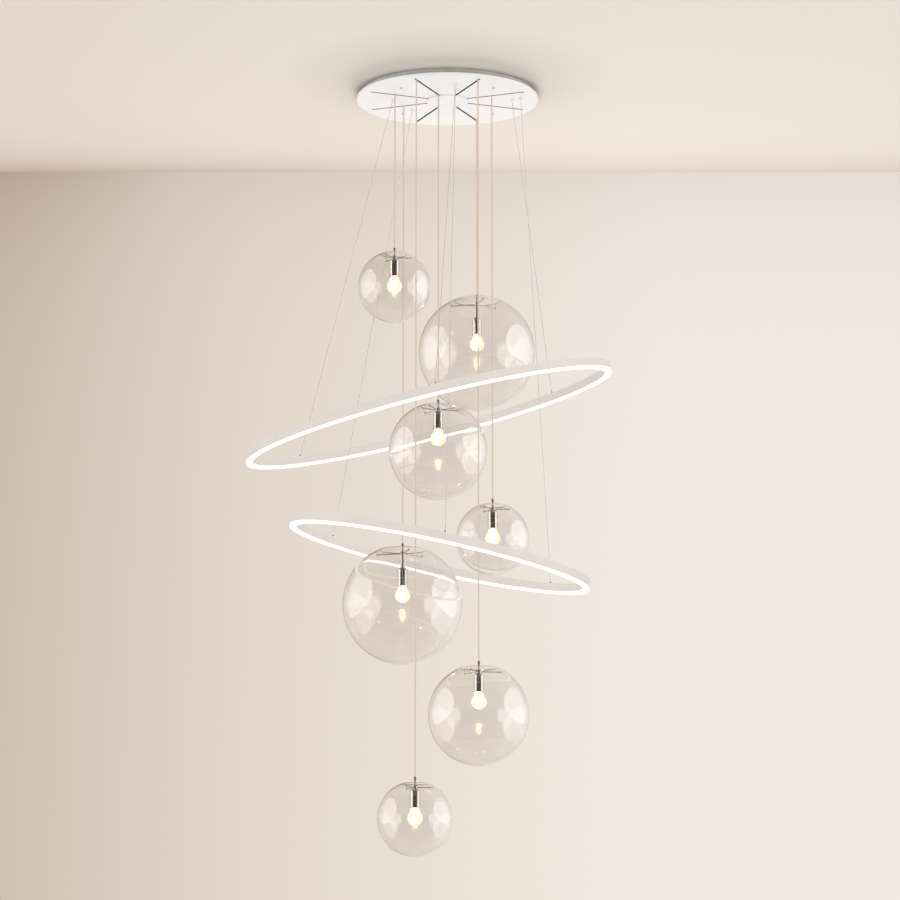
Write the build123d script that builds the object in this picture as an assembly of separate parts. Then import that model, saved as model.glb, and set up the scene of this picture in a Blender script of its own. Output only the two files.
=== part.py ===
from build123d import *
from math import cos, sin, sqrt, radians
import os

# Globe cluster pendant: a slotted ceiling canopy, seven glass globes on cords, two tilted light rings.
# Millimetres, +Z up, origin on the ceiling at the middle of the mounting pan, photograph seen along +Y.

# Clearances
touch_gap = 0.3          # between pieces of different bodies that all but touch
slide_gap = 0.1          # under a carrier that slides on the canopy disc
key_gap = 0.25           # each side of a carrier's key in its slot
fit_gap = 0.2            # radial, plugs in holes and inserts in cups
cluster_gap = 12.0       # from a globe to the cord of a neighbour that hangs lower
slot_pair_gap = 19.0     # the same, for two pendants in one slot

# Canopy
pan_depth = 16.0
pan_wall = 1.5
pan_inset = 12.0         # shadow gap, disc edge to pan wall
disc_thickness = 4.0
disc_lip_height = 3.0
disc_lip_width = 3.0
rim_margin = 22.0        # slot end to disc edge
front_inset = 4.0        # how much further in the front right and far right pendants hang
slot_count = 8
slot_first_angle = 22.5
slot_side_gap = 0.9      # cord to slot side
slot_inner_radius = 56.0
slot_end_room = 10.0     # innermost and outermost cord to slot end
cap_overlap = 3.0        # cap edge past the inner ends of the slots
cap_thickness = 2.5
cap_edge_round = 1.2
cap_spigot_radius = 6.0
cap_nut_height = 3.0
cap_nut_radius = 10.0

# Canopy fasteners and ceiling fixing
post_circle_radius = 180.0
post_count = 4
post_radius = 6.0
screw_radius = 2.0
screw_length = 12.0
screw_end_gap = 2.0      # screw point to the end of its bore
screw_head_radius = 4.2
screw_head_height = 2.2
ceiling_hole_circle_radius = 120.0
ceiling_hole_radius = 3.0
mains_entry_radius = 10.0

# Electrical boxes in the canopy
driver_length = 84.0
driver_width = 34.0
driver_height = 11.0
driver_distance = 150.0
driver_edge_round = 2.0
terminal_width = 18.0
terminal_height = 10.0
terminal_distance = 80.0
terminal_ways = 3
terminal_pitch = 12.0
terminal_hole_radius = 2.2

# Cord carriers
carrier_length = 28.0
carrier_width = 13.0
carrier_height = 8.0
carrier_edge_round = 1.5
carrier_key_height = 3.2
carrier_key_length = 10.0
grub_radius = 1.5
grub_height = 1.5

# Cords and cord grips
cord_radius = 2.0
cord_bore_gap = 0.2
grip_length = 25.0
grip_foot_radius = 4.6
grip_foot_height = 3.0
grip_stem_radius = 2.0
grip_bead_radius = 3.2
grip_bead_length = 9.0
grip_bead_edge = 0.8

# Lamp holder and lamp
cup_radius = 13.6
cup_wall = 1.0
cup_length = 44.0
cup_shoulder = 6.0
cup_neck_radius = 6.3
thread_radius = 4.0      # stub of the cup that passes through the spider's hub
socket_length = 36.0
socket_gap = 0.4         # lamp cap in its socket
neck_gap = 1.6           # lamp neck in the cup
lamp_cap_radius = 6.9
lamp_cap_length = 20.0
lamp_radius = 20.0
lamp_length = 47.0
lamp_neck_inside = 6.0

# Spider that carries each globe
hub_radius = 7.0
hub_height = 6.0
arm_count = 3
arm_radius = 1.5
tip_radius = 3.0
seat_drop = 12.0         # globe rim to the plane of the arms
glass_wall = 3.0

# Globes
small_radius = 100.0
small_mouth = 34.0
medium_radius = 135.0
medium_mouth = 47.0
large_radius = 165.0
large_mouth = 63.0
large_stem = 36.0        # tube above the cup, in the large globes only

# Light rings
upper_ring_radius = 510.0
lower_ring_radius = 410.0
ring_width = 16.0
ring_channel_height = 22.0
ring_wall = 1.5
diffuser_height = 6.0
diffuser_tongue_height = 4.0
strip_width = 10.0
strip_thickness = 2.0

# Heights: the lowest globe below the ceiling, then the other globes and the rings above that globe
drop = 2032.0
rise_1 = 1464.0
rise_2 = 1332.0
rise_3 = 1005.0
rise_4 = 764.0
rise_5 = 597.0
rise_6 = 273.0
upper_ring_rise = 1109.0
lower_ring_rise = 721.0

# Ring cables
cable_radius = 0.8
ferrule_radius = 1.5
ferrule_length = 12.0
dome_radius = 5.0
nipple_shank_radius = 2.5
nipple_nut_height = 4.0
upper_anchors = ((181.0, 0.0), (-154.0, 0.0), (22.0, -150.0))
lower_anchors = ((205.0, -20.0), (-100.0, 100.0), (22.0, -110.0))

# Each ring: place of its centre, tilt across and away, turns of its three cables
upper_ring = dict(radius=upper_ring_radius, centre=(-51.0, 0.0, upper_ring_rise - drop),
                  across=14.3, away=3.5, stations=(43.0, 137.0, 272.0))
lower_ring = dict(radius=lower_ring_radius, centre=(-22.0, 0.0, lower_ring_rise - drop),
                  across=-12.2, away=1.2, stations=(40.0, 140.0, 272.0))

# Each globe: radius, mouth, stem above its cup, turn of the first arm
small = dict(radius=small_radius, mouth=small_mouth, stem=0.0, arm_turn=0.0)
medium = dict(radius=medium_radius, mouth=medium_mouth, stem=0.0, arm_turn=8.0)
large = dict(radius=large_radius, mouth=large_mouth, stem=large_stem, arm_turn=44.0)

# Fits that follow
slot_width = 2 * (cord_radius + slot_side_gap)
cap_radius = slot_inner_radius + cap_overlap
post_bore_depth = screw_length - disc_thickness + screw_end_gap
socket_bore_radius = lamp_cap_radius + socket_gap
lamp_neck_radius = cup_radius - cup_wall - neck_gap

# Heights that follow from the canopy
disc_top = -pan_depth
disc_under = disc_top - disc_thickness
key_bottom = disc_top + slide_gap - carrier_key_height

# Places along the slots, from the inner pendant outwards
inner_place = slot_inner_radius + slot_end_room
medium_reach = medium_radius + cord_radius
side_place = sqrt((medium_reach + cluster_gap) ** 2 - inner_place**2)
outer_place = inner_place + medium_reach + slot_pair_gap
half_right = side_place * cos(radians(45))
small_reach = small_radius + cord_radius + cluster_gap
left_reach = max(small_reach, half_right)
left_place = half_right + sqrt(left_reach**2 - half_right**2)
front_place = outer_place - front_inset

slot_outer_radius = outer_place + slot_end_room
canopy_radius = slot_outer_radius + rim_margin
pan_radius = canopy_radius - pan_inset

# Pendants from the top down: globe, slot, place along the slot, height of the globe's centre
pendants = [
    dict(size=small, slot=4, place=left_place, height=rise_1 - drop),
    dict(size=large, slot=1, place=front_place, height=rise_2 - drop),
    dict(size=medium, slot=5, place=inner_place, height=rise_3 - drop),
    dict(size=small, slot=7, place=side_place, height=rise_4 - drop),
    dict(size=large, slot=3, place=side_place, height=rise_5 - drop),
    dict(size=medium, slot=6, place=front_place, height=rise_6 - drop),
    dict(size=small, slot=5, place=outer_place, height=-drop),
]

low = (Align.CENTER, Align.CENTER, Align.MIN)
high = (Align.CENTER, Align.CENTER, Align.MAX)


def spin(*points):
    """A solid of revolution about Z from an outline of (radius, height) points."""
    outline = Polyline(*[(r, 0, z) for r, z in points], close=True)
    return revolve(make_face(outline), Axis.Z)


def slot_angle(index):
    return slot_first_angle + index * 360 / slot_count


def around(count, radius, first=0.0):
    """Places evenly spaced on a circle about Z."""
    return [Rot(0, 0, first + k * 360 / count) * Pos(radius, 0, 0) for k in range(count)]


# Canopy

def post_places():
    return around(post_count, post_circle_radius, 180 / post_count)


def ceiling_pan():
    """Steel pan screwed to the ceiling, with a post for each canopy screw."""
    pan = Cylinder(pan_radius, pan_depth, align=high)
    pan -= Pos(0, 0, -pan_wall) * Cylinder(pan_radius - pan_wall, pan_depth, align=high)
    pan -= Cylinder(mains_entry_radius, 2 * pan_wall)
    for place in around(4, ceiling_hole_circle_radius, 45):
        pan -= place * Cylinder(ceiling_hole_radius, 2 * pan_wall)
    for place in post_places():
        post = Cylinder(post_radius, pan_depth - pan_wall, align=high)
        post -= Pos(0, 0, post_bore_depth - pan_depth + pan_wall) * Cylinder(
            screw_radius + fit_gap, post_bore_depth, align=high
        )
        pan += place * Pos(0, 0, -pan_wall) * post
    return pan


def canopy_disc():
    """Slotted cover disc with a turned-up lip."""
    disc = Pos(0, 0, disc_under) * Cylinder(canopy_radius, disc_thickness + disc_lip_height, align=low)
    disc -= Pos(0, 0, disc_top) * Cylinder(canopy_radius - disc_lip_width, disc_lip_height, align=low)
    disc -= Pos(0, 0, disc_under) * Cylinder(cap_spigot_radius + fit_gap, disc_thickness, align=low)
    slot_length = slot_outer_radius - slot_inner_radius
    slot = extrude(SlotOverall(slot_length, slot_width), disc_thickness)
    for index in range(slot_count):
        place = Rot(0, 0, slot_angle(index)) * Pos(slot_inner_radius + slot_length / 2, 0, disc_under)
        disc -= place * slot
    for place in post_places():
        disc -= place * Pos(0, 0, disc_under) * Cylinder(screw_radius + fit_gap, disc_thickness, align=low)
    for x, y in upper_anchors + lower_anchors:
        disc -= Pos(x, y, disc_under) * Cylinder(nipple_shank_radius + fit_gap, disc_thickness, align=low)
    return disc


def centre_cap():
    """Trim plate over the inner ends of the slots, with its spigot and nut above the disc."""
    plate = Pos(0, 0, disc_under) * Cylinder(cap_radius, cap_thickness, align=high)
    plate = fillet(plate.edges().sort_by(Axis.Z)[0], cap_edge_round)
    plate += Pos(0, 0, disc_under) * Cylinder(cap_spigot_radius, disc_thickness, align=low)
    return plate + Pos(0, 0, disc_top) * Cylinder(cap_nut_radius, cap_nut_height, align=low)


def canopy_screws():
    """Pan-head screws through the disc into the posts."""
    shank = Cylinder(screw_radius, screw_length, align=low)
    head = Cylinder(screw_head_radius, screw_head_height, align=high)
    head = fillet(head.edges().sort_by(Axis.Z)[0], screw_head_height / 2)
    return [place * Pos(0, 0, disc_under) * (shank + head) for place in post_places()]


def led_driver():
    """Supply for the light rings, screwed up into the pan."""
    box = Pos(0, driver_distance, -pan_wall) * Box(driver_length, driver_width, driver_height, align=high)
    return fillet(box.edges().filter_by(Axis.Z), driver_edge_round)


def terminal_block():
    """Mains terminals beside the cable entry."""
    length = terminal_ways * terminal_pitch
    block = Pos(0, -terminal_distance, -pan_wall) * Box(length, terminal_width, terminal_height, align=high)
    for way in range(terminal_ways):
        x = (way - (terminal_ways - 1) / 2) * terminal_pitch
        hole = Rot(90, 0, 0) * Cylinder(terminal_hole_radius, 2 * terminal_width)
        block -= Pos(x, -terminal_distance, -pan_wall - terminal_height / 2) * hole
    return block


def cable_nipples():
    """Domed cable outlets under the disc, each with its shank and nut."""
    dome = Sphere(dome_radius, arc_size1=-90, arc_size2=0, align=high)
    shank = Cylinder(nipple_shank_radius, disc_thickness, align=low)
    nut = Pos(0, 0, disc_thickness) * Cylinder(dome_radius, nipple_nut_height, align=low)
    nipple = dome + shank + nut
    return [Pos(x, y, disc_under) * nipple for x, y in upper_anchors + lower_anchors]


# Light rings

def ring_place(ring):
    return Pos(*ring["centre"]) * Rot(0, -ring["across"], 0) * Rot(ring["away"], 0, 0)


def ring_channel(ring):
    """White channel, open downwards."""
    inner = ring["radius"] - ring_width / 2
    outer = ring["radius"] + ring_width / 2
    top = ring_channel_height
    return spin(
        (inner, 0), (inner, top), (outer, top), (outer, 0),
        (outer - ring_wall, 0), (outer - ring_wall, top - ring_wall),
        (inner + ring_wall, top - ring_wall), (inner + ring_wall, 0),
    )


def ring_diffuser(ring):
    """Opal band below the channel, with a tongue inside it."""
    middle = ring["radius"]
    half = ring_width / 2
    tongue = half - ring_wall - fit_gap
    return spin(
        (middle - half, -diffuser_height), (middle - half, 0), (middle - tongue, 0),
        (middle - tongue, diffuser_tongue_height), (middle + tongue, diffuser_tongue_height),
        (middle + tongue, 0), (middle + half, 0), (middle + half, -diffuser_height),
    )


def ring_strip(ring):
    """Light strip under the top of the channel."""
    middle = ring["radius"]
    top = ring_channel_height - ring_wall
    return spin(
        (middle - strip_width / 2, top - strip_thickness), (middle - strip_width / 2, top),
        (middle + strip_width / 2, top), (middle + strip_width / 2, top - strip_thickness),
    )


def stations(ring):
    """Places on top of the ring where its cables hold it."""
    top = ring_channel_height
    return [ring_place(ring) * Rot(0, 0, a) * Pos(ring["radius"], 0, top) for a in ring["stations"]]


def ring_studs(ring):
    """Domed studs on top of the ring, one at each cable."""
    return [place * Sphere(dome_radius, arc_size1=0, arc_size2=90, align=low) for place in stations(ring)]


def ring_cable(anchor, station):
    """Steel cable from its canopy outlet to its stud, with a swaged end."""
    start = Vector(*anchor, disc_under)
    along = (station.position - start).normalized()
    top = start + along * dome_radius
    bottom = station.position - along * (dome_radius + touch_gap)
    cable = Plane(top, z_dir=along) * Cylinder(cable_radius, (bottom - top).length, align=low)
    return cable + Plane(bottom, z_dir=-along) * Cylinder(ferrule_radius, ferrule_length, align=low)


def all_cables(ring, anchors):
    return [ring_cable(anchor, station) for anchor, station in zip(anchors, stations(ring))]


# Pendants: every piece is drawn about the globe's centre

def rim_height(size):
    return sqrt(size["radius"] ** 2 - size["mouth"] ** 2)


def arm_height(size):
    return rim_height(size) - seat_drop


def cup_top(size):
    return arm_height(size) - hub_height / 2 - size["stem"]


def cup_mouth(size):
    return cup_top(size) - cup_shoulder - cup_length


def grip_top(size):
    return arm_height(size) + hub_height / 2 + grip_length


def globe(size):
    """Clear glass ball with an open mouth on top."""
    radius = size["radius"]
    shell = Sphere(radius) - Sphere(radius - glass_wall)
    return shell - Cylinder(size["mouth"], radius, align=low)


def cord_grip():
    """Foot on the hub, a thin stem, and a bead round the end of the cord."""
    bead_low = grip_length - grip_bead_length
    rounded = grip_bead_radius - grip_bead_edge
    return spin(
        (0, 0), (grip_foot_radius, 0), (grip_foot_radius, grip_foot_height),
        (grip_stem_radius, grip_foot_height), (grip_stem_radius, bead_low), (rounded, bead_low),
        (grip_bead_radius, bead_low + grip_bead_edge), (grip_bead_radius, grip_length - grip_bead_edge),
        (rounded, grip_length), (0, grip_length),
    )


def spider(size):
    """Hub with arms whose tips hold the globe from inside, and the cord grip standing on the hub."""
    height = arm_height(size)
    seat_radius = size["radius"] - glass_wall - touch_gap - tip_radius
    reach = sqrt(seat_radius**2 - height**2)
    body = Cylinder(hub_radius, hub_height)
    for turn in around(arm_count, 0, size["arm_turn"]):
        body += turn * Rot(0, 90, 0) * Cylinder(arm_radius, reach, align=low)
        body += turn * Pos(reach, 0, 0) * Sphere(tip_radius)
    body -= Cylinder(thread_radius + fit_gap, hub_height)
    return [Pos(0, 0, height) * body, Pos(0, 0, height + hub_height / 2) * cord_grip()]


def lampholder(size):
    """Chrome cup on its stem, and the socket inside it."""
    top = cup_top(size)
    mouth = cup_mouth(size)
    shoulder = top - cup_shoulder
    bore = cup_radius - cup_wall
    cup = spin(
        (0, top), (cup_neck_radius, top), (cup_radius, shoulder), (cup_radius, mouth),
        (bore, mouth), (bore, shoulder), (0, shoulder),
    )
    if size["stem"] > 0:
        cup += Pos(0, 0, top) * Cylinder(cup_neck_radius, size["stem"], align=low)
    cup += Pos(0, 0, arm_height(size) - hub_height / 2) * Cylinder(thread_radius, hub_height, align=low)
    socket = Pos(0, 0, shoulder) * Cylinder(bore - fit_gap, socket_length, align=high)
    bore_depth = lamp_neck_inside + lamp_cap_length - (cup_length - socket_length)
    socket -= Pos(0, 0, shoulder - socket_length) * Cylinder(socket_bore_radius, bore_depth, align=low)
    return [cup, socket]


def bulb(size):
    """Frosted round lamp with its cap screwed up into the socket."""
    mouth = cup_mouth(size)
    middle = mouth - lamp_length + lamp_radius
    neck_top = mouth + lamp_neck_inside
    ball = Pos(0, 0, middle) * Sphere(lamp_radius)
    tangent = lamp_radius * 0.35
    wide = sqrt(lamp_radius**2 - tangent**2)
    neck = spin(
        (0, middle), (wide, middle + tangent), (lamp_neck_radius, mouth), (lamp_neck_radius, neck_top),
        (0, neck_top),
    )
    cap = Pos(0, 0, neck_top) * Cylinder(lamp_cap_radius, lamp_cap_length, align=low)
    return ball + neck + cap


def cord(pendant):
    """Straight taut cord from the canopy slot down to its grip."""
    top = key_bottom - touch_gap
    bottom = pendant["height"] + grip_top(pendant["size"])
    return Pos(0, 0, bottom) * Cylinder(cord_radius, top - bottom, align=low)


def carrier():
    """Block that slides on the disc, with a key in the slot and a grub screw that grips the cord."""
    block = Pos(0, 0, disc_top + slide_gap) * Box(carrier_length, carrier_width, carrier_height, align=low)
    block = fillet(block.edges().filter_by(Axis.Z), carrier_edge_round)
    key = extrude(SlotOverall(carrier_key_length, slot_width - 2 * key_gap), carrier_key_height)
    block += Pos(0, 0, key_bottom) * key
    block -= Pos(0, 0, disc_under) * Cylinder(cord_radius + cord_bore_gap, pan_depth, align=low)
    grub = Rot(90, 0, 0) * Cylinder(grub_radius, grub_height, align=low)
    return block + Pos(0, -carrier_width / 2, disc_top + slide_gap + carrier_height / 2) * grub


# Writing the pieces

def write(name, solids):
    pieces = solids if isinstance(solids, list) else [solids]
    export_step(Compound([s for piece in pieces for s in piece.solids()]), f"parts/{name}.step")


def write_canopy():
    write("ceiling_pan", ceiling_pan())
    write("canopy_disc", canopy_disc())
    write("centre_cap", centre_cap())
    write("canopy_screws", canopy_screws())
    write("led_driver", led_driver())
    write("terminal_block", terminal_block())
    write("cable_nipples", cable_nipples())


def write_rings():
    upper_right, upper_left, upper_front = all_cables(upper_ring, upper_anchors)
    lower_right, lower_left, lower_front = all_cables(lower_ring, lower_anchors)
    write("ring_cables", [upper_right, upper_front, lower_left, lower_front])
    write("upper_ring_levelling_cable", upper_left)
    write("lower_ring_levelling_cable", lower_right)
    for name, ring in (("upper_ring", upper_ring), ("lower_ring", lower_ring)):
        place = ring_place(ring)
        write(f"{name}_channel", place * ring_channel(ring))
        write(f"{name}_led_strip", place * ring_strip(ring))
        write(f"{name}_diffuser", place * ring_diffuser(ring))
        write(f"{name}_cable_studs", ring_studs(ring))


def write_pendants():
    for number, pendant in enumerate(pendants, start=1):
        size = pendant["size"]
        over = Rot(0, 0, slot_angle(pendant["slot"])) * Pos(pendant["place"], 0, 0)
        foot = Pos(*over.position) * Pos(0, 0, pendant["height"])
        write(f"carrier_{number}", over * carrier())
        write(f"cord_{number}", Pos(*over.position) * cord(pendant))
        write(f"spider_{number}", [foot * piece for piece in spider(size)])
        write(f"lampholder_{number}", [foot * piece for piece in lampholder(size)])
        write(f"bulb_{number}", foot * bulb(size))
        write(f"globe_{number}", foot * globe(size))


os.makedirs("parts", exist_ok=True)
write_canopy()
write_rings()
write_pendants()
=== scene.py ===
from math import asin, cos, degrees, pi, radians, sin, sqrt

import bmesh
import bpy
from mathutils import Matrix, Vector


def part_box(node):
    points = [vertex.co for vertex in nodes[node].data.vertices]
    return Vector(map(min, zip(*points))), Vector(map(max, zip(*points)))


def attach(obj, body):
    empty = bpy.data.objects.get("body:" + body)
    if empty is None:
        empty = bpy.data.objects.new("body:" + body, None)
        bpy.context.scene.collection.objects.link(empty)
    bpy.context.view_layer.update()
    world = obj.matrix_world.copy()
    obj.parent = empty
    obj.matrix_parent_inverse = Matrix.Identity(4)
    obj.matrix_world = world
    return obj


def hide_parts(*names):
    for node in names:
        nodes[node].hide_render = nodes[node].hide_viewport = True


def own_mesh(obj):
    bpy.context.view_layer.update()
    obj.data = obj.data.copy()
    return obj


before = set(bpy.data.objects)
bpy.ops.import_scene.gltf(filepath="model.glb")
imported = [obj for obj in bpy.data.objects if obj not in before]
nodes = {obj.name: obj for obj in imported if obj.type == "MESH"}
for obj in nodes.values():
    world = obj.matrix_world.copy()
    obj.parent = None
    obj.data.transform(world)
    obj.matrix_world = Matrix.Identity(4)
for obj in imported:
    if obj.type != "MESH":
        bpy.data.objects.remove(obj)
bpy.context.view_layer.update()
scene = bpy.context.scene
pendant_numbers = range(1, 8)

# Sizes shared with the model, in metres and degrees
disc_under = -0.02
dome_radius = 0.005
touch_gap = 0.0003
cable_radius = 0.0008
cord_radius = 0.002
grip_length = 0.025
channel_height = 0.022
glass_wall = 0.003
small, medium, large = (0.1, 0.034), (0.135, 0.047), (0.165, 0.063)  # radius of the globe and of its mouth
globe_sizes = dict(zip(pendant_numbers, (small, large, medium, small, large, medium, small)))
lamp_radius = 0.02
lamp_length = 0.047
lamp_neck_radius = 0.011
lamp_cap_length = 0.02
rings = {
    "upper_ring": dict(radius=0.51, centre=(-0.051, 0, -0.923), across=14.3, away=3.5, levelling=1,
                       stations=(43, 137, 272), anchors=((0.181, 0), (-0.154, 0), (0.022, -0.15))),
    "lower_ring": dict(radius=0.41, centre=(-0.022, 0, -1.311), across=-12.2, away=1.2, levelling=0,
                       stations=(40, 140, 272), anchors=((0.205, -0.02), (-0.1, 0.1), (0.022, -0.11))),
}

# Where two finishes meet on one node, or a finish meets painted shade
upright_limit = 0.5                  # a face whose normal rises or falls by less stands upright
slot_wall_radii = (0.04, 0.24)       # upright faces of the disc between these lie in its slots and holes
pan_outside = 0.05                   # a pan face whose normal points outwards by less isn't its outer wall
grip_margin = 0.0001                 # above the hub, where the cord grip begins
socket_reach = 0.01245               # faces of a lamp holder this near to its axis
socket_span = (0.0075, 0.0439)       # and this far above its low end are the socket's

# Small shapes, in metres: points are a radius and a height
sleeve_radius = 0.0015
sleeve_edge_radius = 0.0011
sleeve_length = 0.012
sleeve_bevels = (0.0006, 0.0012)     # heights of the lower and the upper bevel
crimp_count = 3
crimp_start = 0.002
crimp_pitch = 0.0032
crimp_profile = [(0.0015, 0), (0.00125, 0.0004), (0.00125, 0.0012), (0.0015, 0.0016)]
rim_bulge = 0.4                      # of half the height of the cut edge of a globe
rim_angles = (60, 30, 0, -30, -60)
core_rise = 0.009                    # lowest point of the lamp to its bright core
core_radius = 0.0085
core_taper = [(0.0078, 0.02), (0.006, 0.03), (0.0035, 0.036), (0, 0.037)]
thread_turns = 6
thread_start = 0.001
thread_pitch = 0.0027
thread_profile = [(0.0062, 0), (0.0069, 0.0009), (0.0069, 0.0013), (0.0062, 0.0022)]
cap_tip = [(0.0058, -0.002), (0.0025, -0.001), (0.0022, 0), (0, 0)]
node_sharp_angle = 35
lathe_sharp_angle = 50


# Shader nodes

noise_low, noise_high = 0.3, 0.7     # most of a noise texture lies between these


def new_material(name):
    mat = bpy.data.materials.new(name)
    mat.use_nodes = True
    tree = mat.node_tree
    return mat, tree, tree.nodes["Principled BSDF"]


def add(tree, kind, **values):
    node = tree.nodes.new(kind)
    for key, value in values.items():
        setattr(node, key, value)
    return node


def combine(tree, operation, first, second):
    """Result of a sum, product or the like of two sockets, or of a socket and a number."""
    node = add(tree, "ShaderNodeMath", operation=operation)
    for socket, value in zip(node.inputs, (first, second)):
        if isinstance(value, float):
            socket.default_value = value
        else:
            tree.links.new(value, socket)
    return node.outputs["Value"]


def ramp_value(tree, value, low, high, first, last):
    """Number that goes from first to last as the value goes from low to high."""
    node = add(tree, "ShaderNodeMapRange")
    node.inputs["From Min"].default_value = low
    node.inputs["From Max"].default_value = high
    node.inputs["To Min"].default_value = first
    node.inputs["To Max"].default_value = last
    tree.links.new(value, node.inputs["Value"])
    return node.outputs["Result"]


def noise(tree, scale, detail=4.0):
    """Noise in the part's own coordinates, in metres."""
    coords = add(tree, "ShaderNodeTexCoord")
    tex = add(tree, "ShaderNodeTexNoise")
    tex.inputs["Scale"].default_value = scale
    tex.inputs["Detail"].default_value = detail
    tree.links.new(coords.outputs["Object"], tex.inputs["Vector"])
    return tex.outputs["Fac"]


def spread(tree, value, low, high):
    return ramp_value(tree, value, noise_low, noise_high, low, high)


def tint(tree, value, dark, light):
    node = add(tree, "ShaderNodeValToRGB")
    for element, place, colour in zip(node.color_ramp.elements, (noise_low, noise_high), (dark, light)):
        element.position = place
        element.color = (*colour, 1)
    tree.links.new(value, node.inputs["Fac"])
    return node.outputs["Color"]


def bump(tree, shader, value, strength, distance):
    node = add(tree, "ShaderNodeBump")
    node.inputs["Strength"].default_value = strength
    node.inputs["Distance"].default_value = distance
    tree.links.new(value, node.inputs["Height"])
    tree.links.new(node.outputs["Normal"], shader.inputs["Normal"])


# Materials

glass_ior = 1.43
strand_angle = 35
wave_band = 2 * pi / 20              # width of one band of a wave texture at scale 1


def surface(name, dark, light, rough, scale, fine, metallic=0.0, relief=0.00002):
    """Painted, moulded or metal surface with slow colour drift, uneven gloss and a fine grain."""
    mat, tree, shader = new_material(name)
    shader.inputs["Metallic"].default_value = metallic
    broad = noise(tree, scale)
    grain = noise(tree, fine, detail=2.0)
    tree.links.new(tint(tree, broad, dark, light), shader.inputs["Base Color"])
    tree.links.new(spread(tree, grain, *rough), shader.inputs["Roughness"])
    bump(tree, shader, grain, strength=0.4, distance=relief)
    return mat


def braid(name, dark, light, pitch, rough, metallic, relief):
    """Crossed strands round a thin cord or cable."""
    mat, tree, shader = new_material(name)
    shader.inputs["Metallic"].default_value = metallic
    shader.inputs["Roughness"].default_value = rough
    coords = add(tree, "ShaderNodeTexCoord")
    waves = []
    for turn in (strand_angle, -strand_angle):
        mapping = add(tree, "ShaderNodeMapping")
        mapping.inputs["Rotation"].default_value = (radians(turn), radians(turn), 0)
        wave = add(tree, "ShaderNodeTexWave", bands_direction="Z")
        wave.inputs["Scale"].default_value = wave_band / pitch
        wave.inputs["Distortion"].default_value = 0.4
        tree.links.new(coords.outputs["Object"], mapping.inputs["Vector"])
        tree.links.new(mapping.outputs["Vector"], wave.inputs["Vector"])
        waves.append(wave.outputs["Fac"])
    cross = combine(tree, "MULTIPLY", *waves)
    tree.links.new(tint(tree, cross, dark, light), shader.inputs["Base Color"])
    bump(tree, shader, cross, strength=0.6, distance=relief)
    return mat


def clear_glass():
    """Clear blown glass with very slow waves in its thickness."""
    mat, tree, shader = new_material("clear_glass")
    shader.inputs["Base Color"].default_value = (0.95, 0.936, 0.928, 1)
    shader.inputs["Transmission Weight"].default_value = 1.0
    shader.inputs["IOR"].default_value = glass_ior
    tree.links.new(spread(tree, noise(tree, 40.0), 0.0, 0.012), shader.inputs["Roughness"])
    bump(tree, shader, noise(tree, 14.0, detail=1.0), strength=0.05, distance=0.0004)
    return mat


def cut_edge():
    """Ground edge of the glass round a globe's mouth."""
    mat, tree, shader = new_material("glass_edge")
    shader.inputs["Transmission Weight"].default_value = 0.15
    shader.inputs["IOR"].default_value = glass_ior
    grain = noise(tree, 700.0, detail=2.0)
    tree.links.new(tint(tree, grain, (0.3, 0.27, 0.22), (0.42, 0.39, 0.33)), shader.inputs["Base Color"])
    tree.links.new(spread(tree, grain, 0.4, 0.55), shader.inputs["Roughness"])
    return mat


def glow(name, dark, light, emission, strength, scale):
    """Surface that gives light of its own."""
    mat, tree, shader = new_material(name)
    value = noise(tree, scale)
    tree.links.new(tint(tree, value, dark, light), shader.inputs["Base Color"])
    tree.links.new(spread(tree, value, 0.36, 0.44), shader.inputs["Roughness"])
    shader.inputs["Emission Color"].default_value = (*emission, 1)
    shader.inputs["Emission Strength"].default_value = strength
    return mat


def bulb_glass():
    """Softly frosted lamp envelope."""
    mat, tree, shader = new_material("bulb_glass")
    shader.inputs["Base Color"].default_value = (1.0, 0.95, 0.82, 1)
    shader.inputs["Transmission Weight"].default_value = 0.9
    shader.inputs["IOR"].default_value = 1.12
    shader.inputs["Emission Color"].default_value = (1.0, 0.78, 0.42, 1)
    shader.inputs["Emission Strength"].default_value = 0.25
    tree.links.new(spread(tree, noise(tree, 220.0), 0.28, 0.36), shader.inputs["Roughness"])
    return mat


white_paint = surface("canopy_white", (0.9, 0.897, 0.89), (0.935, 0.932, 0.925), (0.34, 0.44),
                      scale=9, fine=700)
# white ring paint, tinted beige with the room's warm light painted in
ring_paint = surface("ring_white", (0.8, 0.752, 0.708), (0.84, 0.79, 0.745), (0.5, 0.6),
                     scale=12, fine=1100, relief=1e-6)
pan_paint = surface("pan_steel", (0.41, 0.4, 0.385), (0.49, 0.48, 0.465), (0.4, 0.55),
                    scale=30, fine=900)
nickel = surface("fitting_steel", (0.6, 0.59, 0.57), (0.72, 0.71, 0.69), (0.18, 0.28),
                 scale=200, fine=1500, metallic=1.0)
# chrome darkened and tinted brown, a painted reflection of a dim brown room
chrome = surface("chrome", (0.4, 0.37, 0.345), (0.45, 0.42, 0.395), (0.03, 0.08),
                 scale=60, fine=900, metallic=1.0, relief=2e-6)
bronze = surface("cord_grip", (0.15, 0.08, 0.04), (0.23, 0.13, 0.07), (0.3, 0.42),
                 scale=300, fine=1500)
ceramic = surface("socket_ceramic", (0.78, 0.76, 0.72), (0.85, 0.83, 0.8), (0.4, 0.55),
                  scale=150, fine=900)
driver_plastic = surface("driver_plastic", (0.78, 0.78, 0.76), (0.83, 0.83, 0.81), (0.5, 0.62),
                         scale=60, fine=1200)
terminal_plastic = surface("terminal_plastic", (0.7, 0.7, 0.67), (0.76, 0.76, 0.73), (0.45, 0.6),
                           scale=80, fine=1200)
# near-black painted shade for the slots and the inside of the canopy
painted_shade_inside = surface("canopy_inside_painted_shade", (0.02, 0.019, 0.018), (0.035, 0.034, 0.032), (0.5, 0.65),
                      scale=60, fine=900)
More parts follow.
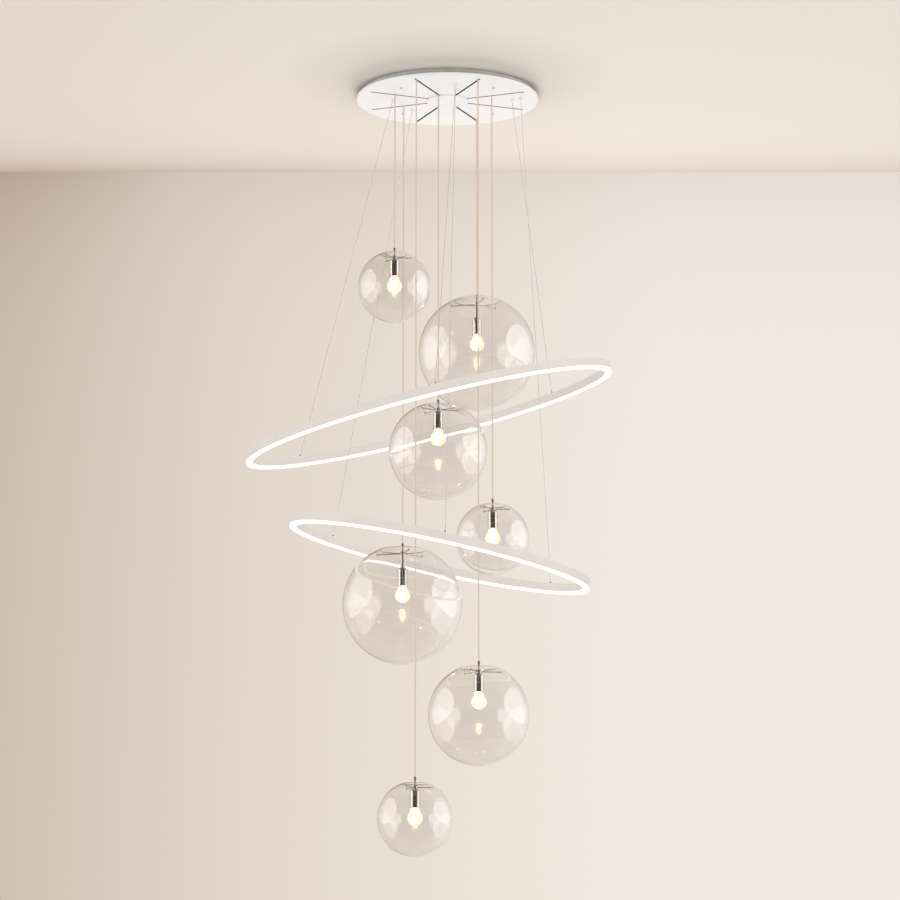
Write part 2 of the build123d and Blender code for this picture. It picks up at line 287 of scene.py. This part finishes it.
nylon = surface("carrier_plastic", (0.03, 0.03, 0.033), (0.05, 0.05, 0.053), (0.42, 0.58),
                scale=150, fine=1500)
strip_coat = surface("led_strip", (0.8, 0.75, 0.55), (0.9, 0.86, 0.7), (0.4, 0.55),
                     scale=90, fine=600)
cord_cloth = braid("cord_fabric", (0.74, 0.595, 0.49), (0.88, 0.75, 0.65),
                   pitch=0.0016, rough=0.75, metallic=0.0, relief=0.00025)
cable_steel = braid("cable_steel", (0.54, 0.53, 0.525), (0.64, 0.63, 0.625),
                    pitch=0.0007, rough=0.5, metallic=1.0, relief=0.00002)
opal = glow("opal_diffuser", (0.9, 0.9, 0.88), (0.94, 0.94, 0.92),
            emission=(1.0, 0.99, 0.96), strength=0.75, scale=30)
bulb_core = glow("bulb_core", (1, 0.95, 0.85), (1, 0.97, 0.9),
                 emission=(1.0, 0.8, 0.48), strength=9.0, scale=200)
globe_glass = clear_glass()
glass_edge = cut_edge()
envelope_glass = bulb_glass()


# Finish of the carried-over nodes, and painted shade inside the canopy

def dress(node, *materials):
    mesh = nodes[node].data
    mesh.materials.clear()
    for mat in materials:
        mesh.materials.append(mat)


def dress_split(node, main, other, is_other):
    """Two materials on a node, told apart by where each face lies and which way it looks."""
    dress(node, main, other)
    for face in nodes[node].data.polygons:
        face.material_index = 1 if is_other(face.center, face.normal) else 0


def is_disc_inside(centre, normal):
    """Slot walls and the top of the canopy disc, inside the pan, which take near-black painted shade."""
    inner, outer = slot_wall_radii
    in_slot = abs(normal.z) < upright_limit and inner < centre.xy.length < outer
    return normal.z > upright_limit or in_slot


# the inside of the pan takes near-black painted shade
def is_pan_inside(centre, normal):
    return normal.z < upright_limit and normal.xy.dot(centre.xy) < pan_outside


for name, mat in {"centre_cap": white_paint, "canopy_screws": nickel, "cable_nipples": white_paint,
                  "led_driver": driver_plastic, "terminal_block": terminal_plastic}.items():
    dress(name, mat)
# slot walls, disc top and inside of the pan get near-black painted shade
dress_split("canopy_disc", white_paint, painted_shade_inside, is_disc_inside)
dress_split("ceiling_pan", pan_paint, painted_shade_inside, is_pan_inside)
for ring_name in rings:
    dress(f"{ring_name}_channel", ring_paint)
    dress(f"{ring_name}_diffuser", opal)
    dress(f"{ring_name}_led_strip", strip_coat)
    dress(f"{ring_name}_cable_studs", nickel)
for k in pendant_numbers:
    dress(f"carrier_{k}", nylon)


# Making pieces

on_axis = 1e-7                       # a smaller radius counts as a point on the axis


def add_object(name, data):
    made = bpy.data.objects.new(name, data)
    scene.collection.objects.link(made)
    return made


def hide_from(made, *rays):
    for ray in rays:
        setattr(made, f"visible_{ray}", False)


def lathe(name, outline, mat, segments):
    """A solid of revolution about Z. The outline runs from the axis to the axis, or closes on itself."""
    shape = bmesh.new()
    turns = [2 * pi * s / segments for s in range(segments)]
    circles = []
    for r, z in outline:
        if r < on_axis:
            circles.append([shape.verts.new((0, 0, z))])
        else:
            circles.append([shape.verts.new((r * cos(t), r * sin(t), z)) for t in turns])
    pairs = list(zip(circles, circles[1:]))
    if outline[0][0] >= on_axis:
        pairs.append((circles[-1], circles[0]))
    for a, b in pairs:
        for s in range(segments):
            t = (s + 1) % segments
            corners = [a[s % len(a)], a[t % len(a)], b[t % len(b)], b[s % len(b)]]
            shape.faces.new(list(dict.fromkeys(corners)))
    bmesh.ops.recalc_face_normals(shape, faces=shape.faces)
    mesh = bpy.data.meshes.new(name)
    shape.to_mesh(mesh)
    shape.free()
    mesh.polygons.foreach_set("use_smooth", [True] * len(mesh.polygons))
    mesh.set_sharp_from_angle(angle=radians(lathe_sharp_angle))
    mesh.materials.append(mat)
    return add_object(name, mesh)


def arc(centre, radius, first, last, count):
    """Points (radius from Z, height) along an arc, angles in degrees from the horizontal."""
    steps = [radians(first + (last - first) * i / count) for i in range(count + 1)]
    return [(max(0.0, centre[0] + radius * cos(a)), centre[1] + radius * sin(a)) for a in steps]


# Cords and cables

def taut_curve(name, top, bottom, radius, mat):
    data = bpy.data.curves.new(name, "CURVE")
    data.dimensions = "3D"
    data.bevel_depth = radius
    data.bevel_resolution = 4
    data.use_fill_caps = True
    spline = data.splines.new("NURBS")
    spline.points.add(2)
    for point, place in zip(spline.points, (top, (top + bottom) / 2, bottom)):
        point.co = (*place, 1)
    spline.order_u = 3
    spline.use_endpoint_u = True
    spline.resolution_u = 6
    data.materials.append(mat)
    return add_object(name, data)


for k in pendant_numbers:
    low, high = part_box(f"cord_{k}")
    centre = (low + high) / 2
    top = Vector((centre.x, centre.y, high.z))
    bottom = Vector((centre.x, centre.y, low.z))
    cord = taut_curve(f"cord_{k}_braid", top, bottom, cord_radius, cord_cloth)
    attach(cord, f"pendant_{k}")
    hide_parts(f"cord_{k}")


def ring_matrix(ring):
    across = Matrix.Rotation(radians(-ring["across"]), 4, "Y")
    away = Matrix.Rotation(radians(ring["away"]), 4, "X")
    return Matrix.Translation(ring["centre"]) @ across @ away


def swage(name, bottom, along):
    """Pressed sleeve with crimp marks on the lower end of a cable."""
    low_bevel, high_bevel = sleeve_bevels
    outline = [(0, 0), (sleeve_edge_radius, 0), (sleeve_radius, low_bevel)]
    for i in range(crimp_count):
        outline += [(r, crimp_start + i * crimp_pitch + z) for r, z in crimp_profile]
    outline += [(sleeve_radius, sleeve_length - high_bevel), (sleeve_edge_radius, sleeve_length),
                (0, sleeve_length)]
    sleeve = lathe(name, outline, nickel, 24)
    turn = Vector((0, 0, 1)).rotation_difference(-along).to_matrix().to_4x4()
    sleeve.data.transform(Matrix.Translation(bottom) @ turn)
    return sleeve


def shorten(piece):
    """Gives the piece a mesh of its own."""
    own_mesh(piece)


def as_tube(curve, name):
    """The curve's tube as a mesh, with the points of its line."""
    line = curve.copy()
    line.data = curve.data.copy()
    line.data.bevel_depth = 0
    scene.collection.objects.link(line)
    bpy.context.view_layer.update()
    graph = bpy.context.evaluated_depsgraph_get()
    mesh = bpy.data.meshes.new_from_object(curve.evaluated_get(graph))
    path = [tuple(v.co) for v in bpy.data.meshes.new_from_object(line.evaluated_get(graph)).vertices]
    mesh.polygons.foreach_set("use_smooth", [True] * len(mesh.polygons))
    mesh.name = name
    bpy.data.objects.remove(line)
    bpy.data.objects.remove(curve)
    return add_object(name, mesh), path


for ring_name, ring in rings.items():
    place = ring_matrix(ring)
    for i, (angle, anchor) in enumerate(zip(ring["stations"], ring["anchors"])):
        turn = radians(angle)
        station = place @ Vector((ring["radius"] * cos(turn), ring["radius"] * sin(turn), channel_height))
        start = Vector((*anchor, disc_under))
        along = (station - start).normalized()
        top = start + along * dome_radius
        bottom = station - along * (dome_radius + touch_gap)
        levelling = i == ring["levelling"]
        name = f"{ring_name}_cable_{i + 1}"
        cable = taut_curve(name, top, bottom, cable_radius, cable_steel)
        sleeve = swage(f"{name}_sleeve", bottom, along)
        facts = dict(exit=top, length=(bottom - top).length, diameter=2 * cable_radius, far_end="object",
                     stiffness="stiff", lay="taut", with_pieces=[sleeve])
        if levelling:
            cable, path = as_tube(cable, name)
            facts["path"] = path
            shorten(cable)
            shorten(sleeve)
        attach(cable, "canopy")
        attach(sleeve, "canopy")
        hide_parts(f"{ring_name}_levelling_cable" if levelling else "ring_cables")


# Pendants

def rim_heights(radius, mouth):
    """Heights above the globe's middle where its inside and its outside meet the mouth."""
    return sqrt((radius - glass_wall) ** 2 - mouth**2), sqrt(radius**2 - mouth**2)


def globe_outline(radius, mouth):
    inner = radius - glass_wall
    outer_end = 90 - degrees(asin(mouth / radius))
    inner_end = 90 - degrees(asin(mouth / inner))
    rim_low, rim_high = rim_heights(radius, mouth)
    half = (rim_high - rim_low) / 2
    rim = [(mouth - rim_bulge * half * cos(a), (rim_low + rim_high) / 2 + half * sin(a))
           for a in map(radians, rim_angles)]
    return arc((0, 0), radius, -90, outer_end, 72) + rim + arc((0, 0), inner, inner_end, -90, 72)


def bulb_outline(low, neck_top):
    """Round lamp from its lowest point up to the neck, with a smooth flare between."""
    centre = low + lamp_radius
    neck_start = low + lamp_length
    rise = neck_start - centre
    hollow = (rise**2 + lamp_neck_radius**2 - lamp_radius**2) / (2 * (lamp_radius - lamp_neck_radius))
    meet = degrees(asin(rise / (lamp_radius + hollow)))
    body = arc((0, centre), lamp_radius, -90, meet, 40)
    flare = arc((lamp_neck_radius + hollow, neck_start), hollow, 180 + meet, 180, 14)
    return body + flare[1:] + [(lamp_neck_radius, neck_top), (0, neck_top)]


def core_outline(low):
    return arc((0, low + core_radius), core_radius, -90, 0, 16) + [(r, low + z) for r, z in core_taper]


def cap_outline(low, high):
    """Screw cap with its thread, up to the contact at its tip."""
    outline = [(0, low)]
    for i in range(thread_turns):
        outline += [(r, low + thread_start + i * thread_pitch + z) for r, z in thread_profile]
    return outline + [(r, high + z) for r, z in cap_tip]


def add_globe(k, axis):
    radius, mouth = globe_sizes[k]
    low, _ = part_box(f"globe_{k}")
    globe = lathe(f"globe_{k}_glass", globe_outline(radius, mouth), globe_glass, 160)
    hide_from(globe, "diffuse", "shadow")
    globe.data.materials.append(glass_edge)
    rim_low, _ = rim_heights(radius, mouth)
    for face in globe.data.polygons:
        face.material_index = 1 if face.center.z > rim_low and face.center.xy.length < mouth else 0
    globe.data.transform(Matrix.Translation((axis.x, axis.y, low.z + radius)))
    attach(globe, f"pendant_{k}")
    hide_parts(f"globe_{k}")


def add_bulb(k, low, high):
    neck_top = high.z - lamp_cap_length
    envelope = lathe(f"bulb_{k}_envelope", bulb_outline(low.z, neck_top), envelope_glass, 64)
    hide_from(envelope, "diffuse", "shadow")
    core = lathe(f"bulb_{k}_core", core_outline(low.z + core_rise), bulb_core, 40)
    cap = lathe(f"bulb_{k}_cap", cap_outline(neck_top, high.z), nickel, 40)
    axis = (low + high) / 2
    for piece in (envelope, core, cap):
        piece.data.transform(Matrix.Translation((axis.x, axis.y, 0)))
        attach(piece, f"pendant_{k}")
        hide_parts(f"bulb_{k}")


def dress_fittings(k, axis):
    """Chrome spider with a bronze cord grip on top, and a chrome cup round a ceramic socket."""
    _, spider_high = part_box(f"spider_{k}")
    holder_low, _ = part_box(f"lampholder_{k}")
    grip_low = spider_high.z - grip_length + grip_margin
    socket_low, socket_high = [holder_low.z + z for z in socket_span]

    def is_grip(centre, normal):
        return centre.z > grip_low

    def is_socket(centre, normal):
        return (centre - axis).xy.length < socket_reach and socket_low < centre.z < socket_high

    dress_split(f"spider_{k}", chrome, bronze, is_grip)
    dress_split(f"lampholder_{k}", chrome, ceramic, is_socket)


for k in pendant_numbers:
    lamp_low, lamp_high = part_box(f"bulb_{k}")
    lamp_axis = (lamp_low + lamp_high) / 2
    add_globe(k, lamp_axis)
    add_bulb(k, lamp_low, lamp_high)
    dress_fittings(k, lamp_axis)

for node in nodes.values():
    node.data.polygons.foreach_set("use_smooth", [True] * len(node.data.polygons))
    node.data.set_sharp_from_angle(angle=radians(node_sharp_angle))


# Studio colours

def linear(colour):
    """Light values of a colour given as it looks on a screen, 0 to 255."""
    return tuple(((c / 255 + 0.055) / 1.055) ** 2.4 for c in colour)


def ramp(tree, value, stops):
    """Colour that follows a value. Each stop is a value and a screen colour."""
    first, last = stops[0][0], stops[-1][0]
    node = add(tree, "ShaderNodeValToRGB")
    elements = node.color_ramp.elements
    elements[0].color = (*linear(stops[0][1]), 1)
    elements[1].color = (*linear(stops[-1][1]), 1)
    for place, colour in stops[1:-1]:
        elements.new((place - first) / (last - first)).color = (*linear(colour), 1)
    tree.links.new(ramp_value(tree, value, first, last, 0.0, 1.0), node.inputs["Fac"])
    return node.outputs["Color"]


def darken(tree, factor, base, shade):
    node = add(tree, "ShaderNodeMix", data_type="RGBA", blend_type="MULTIPLY")
    tree.links.new(factor, node.inputs["Factor"])
    tree.links.new(base, node.inputs["A"])
    node.inputs["B"].default_value = (*shade, 1)
    return node.outputs["Result"]


def corner_shade(tree, base, value, corner, reach, amount, shade):
    """Base colour with painted shade that darkens towards a corner, most within reach of it."""
    steps = 40
    apart = ramp_value(tree, value, corner - steps * reach, corner, steps + 1.0, 1.0)
    fall = combine(tree, "POWER", apart, -2.0)
    return darken(tree, combine(tree, "MULTIPLY", fall, amount), base, shade)


def split_coords(tree, kind):
    coords = add(tree, "ShaderNodeTexCoord")
    split = add(tree, "ShaderNodeSeparateXYZ")
    tree.links.new(coords.outputs[kind], split.inputs["Vector"])
    return split.outputs


def distance_from(tree, place):
    """Distance of a point of the piece from a place in its own coordinates."""
    coords = add(tree, "ShaderNodeTexCoord")
    away = add(tree, "ShaderNodeVectorMath", operation="DISTANCE")
    tree.links.new(coords.outputs["Object"], away.inputs[0])
    away.inputs[1].default_value = place
    return away.outputs["Value"]


def see_through(tree, shader, amount):
    """Lets the surface vanish by an amount from 0 to 1."""
    clear = add(tree, "ShaderNodeBsdfTransparent")
    mix = add(tree, "ShaderNodeMixShader")
    tree.links.new(amount, mix.inputs["Fac"])
    tree.links.new(shader.outputs["BSDF"], mix.inputs[1])
    tree.links.new(clear.outputs["BSDF"], mix.inputs[2])
    tree.links.new(mix.outputs["Shader"], tree.nodes["Material Output"].inputs["Surface"])


# Ceiling and floor

stage_reach = 5.0
ceiling_level = 0.0005
ceiling_far_edge = 0.85
tone_left, tone_right = -1.25, 0.55  # the ceiling's tone changes between these
floor_level = -3.0
floor_fade = (1.5, 4.5)              # distances from its middle between which the floor fades out


def stage_plane(name, corners, mat):
    mesh = bpy.data.meshes.new(name)
    mesh.from_pydata(corners, [], [tuple(range(len(corners)))])
    mesh.materials.append(mat)
    made = add_object(name, mesh)
    return made


def ceiling_paint():
    """Cream with painted shade along the far edge and to the left, and a painted shadow of the canopy round
    it, seen from below only.
    """
    mat, tree, shader = new_material("ceiling_cream")
    shader.inputs["Roughness"].default_value = 0.9
    at = split_coords(tree, "Object")
    cream = ramp(tree, at["X"], [(tone_left, (234, 224, 214)), (tone_right, (239, 231, 223))])
    # painted shade along the far edge of the ceiling, strongest to the left
    amount = ramp_value(tree, at["X"], tone_left, tone_right, 1.0, 0.68)
    cream = corner_shade(tree, cream, at["Y"], ceiling_far_edge, 0.4, amount, (0.58, 0.52, 0.48))
    # painted shadow of the canopy on the ceiling, darkest close round it
    canopy_shadow = ramp_value(tree, distance_from(tree, (0.0, -0.16, 0.0)), 0.16, 0.46, 1.0, 0.0)
    tree.links.new(darken(tree, canopy_shadow, cream, (0.84, 0.83, 0.825)), shader.inputs["Base Color"])
    geometry = add(tree, "ShaderNodeNewGeometry")
    see_through(tree, shader, geometry.outputs["Backfacing"])
    return mat


def floor_paint():
    """Pale floor that fades out, seen from above only."""
    mat, tree, shader = new_material("floor_pale")
    shader.inputs["Base Color"].default_value = (0.93, 0.9, 0.86, 1)
    shader.inputs["Roughness"].default_value = 0.9
    geometry = add(tree, "ShaderNodeNewGeometry")
    faded = ramp_value(tree, distance_from(tree, (0.0, 0.0, 0.0)), *floor_fade, 0.0, 1.0)
    see_through(tree, shader, combine(tree, "MAXIMUM", faded, geometry.outputs["Backfacing"]))
    return mat


ceiling = stage_plane("ceiling", [(-stage_reach, ceiling_far_edge, ceiling_level),
                                  (stage_reach, ceiling_far_edge, ceiling_level),
                                  (stage_reach, -stage_reach, ceiling_level),
                                  (-stage_reach, -stage_reach, ceiling_level)], ceiling_paint())
hide_from(ceiling, "shadow", "diffuse", "glossy", "transmission")
ground = stage_plane("floor", [(-stage_reach, -stage_reach, 0), (stage_reach, -stage_reach, 0),
                               (stage_reach, stage_reach, 0), (-stage_reach, stage_reach, 0)], floor_paint())
ground.location.z = floor_level
hide_from(ground, "diffuse", "shadow", "glossy")


# Lights

panel_corners = 48


def softbox(name, out, centre, half, front_strength, back_strength):
    """Oval light far out at one side, seen in reflections only. Centre and half sizes are along Y and Z."""
    mat, tree, shader = new_material(name)
    mat.cycles.emission_sampling = "NONE"
    shader.inputs["Base Color"].default_value = (0, 0, 0, 1)
    shader.inputs["Emission Color"].default_value = (1, 1, 1, 1)
    along = split_coords(tree, "Object")["Y"]
    front, back = centre[0] - half[0], centre[0] + half[0]
    strength = ramp_value(tree, along, front, back, front_strength, back_strength)
    tree.links.new(strength, shader.inputs["Emission Strength"])
    path = add(tree, "ShaderNodeLightPath")
    unreflected = ramp_value(tree, path.outputs["Glossy Depth"], 0.0, 1.0, 1.0, 0.0)
    scattered = ramp_value(tree, path.outputs["Diffuse Depth"], 0.0, 1.0, 0.0, 1.0)
    see_through(tree, shader, combine(tree, "MAXIMUM", unreflected, scattered))
    turns = [2 * pi * i / panel_corners for i in range(panel_corners)]
    edge = [(out, centre[0] + half[0] * cos(t), centre[1] + half[1] * sin(t)) for t in turns]
    panel = stage_plane(name, edge, mat)
    hide_from(panel, "camera", "diffuse", "shadow")


def area(name, location, target, size, power, colour):
    data = bpy.data.lights.new(name, "AREA")
    data.shape = "RECTANGLE"
    data.size, data.size_y = size
    data.energy = power
    data.color = colour
    lamp = add_object(name, data)
    lamp.location = location
    lamp.rotation_euler = (Vector(target) - Vector(location)).to_track_quat("-Z", "Y").to_euler()
    hide_from(lamp, "camera", "glossy", "transmission")
    return lamp


for name, side in (("left", -1), ("right", 1)):
    softbox(f"softbox_{name}", out=12.0 * side, centre=(3.7, 2.4), half=(10.5, 6.4),
            front_strength=3.7, back_strength=0.6)
    softbox(f"softbox_{name}_low", out=12.6 * side, centre=(-8.0, -3.8), half=(5.8, 5.2),
            front_strength=1.7, back_strength=1.7)

area("key", (3.2, -4.2, -1.6), (0, 0, -0.6), size=(2.4, 2.4), power=34, colour=(1.0, 0.98, 0.95))
area("fill", (-3.0, -4.0, -2.2), (0, 0, -0.6), size=(2.4, 2.4), power=20, colour=(1.0, 0.97, 0.94))
wash = area("ceiling_wash", (0.3, 3.6, -0.62), (0, 0, 0), size=(1.2, 0.5), power=158,
            colour=(1.0, 0.98, 0.96))
washed = bpy.data.collections.new("ceiling_and_canopy")
washed.objects.link(ceiling)
for name in ("canopy_disc", "centre_cap", "canopy_screws", "cable_nipples"):
    washed.objects.link(nodes[name])
wash.light_linking.receiver_collection = washed


# World: the first number of each tone is the X of a direction

# the darker tone about X -0.147 is painted shade on the left of the wall
wall_tones = [(-0.4, (232, 222, 212)), (-0.147, (209, 193, 178)), (-0.06, (229, 217, 205)),
              (0.07, (243, 235, 227))]
wall_shade_tones = [(-0.4, (124, 124, 124)), (-0.147, (255, 255, 255)), (-0.09, (170, 170, 170))]
wall_top = 0.2575                    # Z of the direction of the wall's upper edge
ambient_strength = 0.78
reflected_front = 0.15               # strength of the world on the camera's side, in reflections


def studio_world():
    """Pale wall that is seen directly, through glass and in reflections, and even light from all round."""
    world = bpy.data.worlds.new("studio")
    world.use_nodes = True
    tree = world.node_tree
    tree.nodes.clear()
    toward = split_coords(tree, "Generated")
    # painted shade on the wall towards its upper edge, strongest to the left
    amount = ramp(tree, toward["X"], wall_shade_tones)
    wall = corner_shade(tree, ramp(tree, toward["X"], wall_tones), toward["Z"], wall_top, 0.045, amount,
                        (0.675, 0.625, 0.6))
    path = add(tree, "ShaderNodeLightPath")
    ahead = ramp_value(tree, toward["Y"], -0.5, 0.2, reflected_front, 1.0)
    unreflected = ramp_value(tree, path.outputs["Glossy Depth"], 0.0, 1.0, 1.0, 0.0)
    backdrop = add(tree, "ShaderNodeBackground")
    tree.links.new(wall, backdrop.inputs["Color"])
    tree.links.new(combine(tree, "MAXIMUM", ahead, unreflected), backdrop.inputs["Strength"])
    ambient = add(tree, "ShaderNodeBackground")
    ambient.inputs["Color"].default_value = (1.0, 0.98, 0.96, 1)
    ambient.inputs["Strength"].default_value = ambient_strength
    seen = combine(tree, "MAXIMUM", path.outputs["Is Camera Ray"], path.outputs["Is Transmission Ray"])
    mix = add(tree, "ShaderNodeMixShader")
    tree.links.new(combine(tree, "MAXIMUM", seen, path.outputs["Is Glossy Ray"]), mix.inputs["Fac"])
    tree.links.new(ambient.outputs["Background"], mix.inputs[1])
    tree.links.new(backdrop.outputs["Background"], mix.inputs[2])
    out = add(tree, "ShaderNodeOutputWorld")
    tree.links.new(mix.outputs["Shader"], out.inputs["Surface"])
    return world


scene.world = studio_world()


# Camera

camera_place = (0.007, -8.22, -2.416)
camera_rise = 9.68                   # degrees above level
camera = bpy.data.cameras.new("camera")
camera.lens = 121.24
camera.sensor_width = 36
camera.clip_end = 100
viewer = add_object("camera", camera)
viewer.location = camera_place
viewer.rotation_euler = (radians(90 + camera_rise), 0, 0)
scene.camera = viewer
scene.view_settings.view_transform = "Standard"
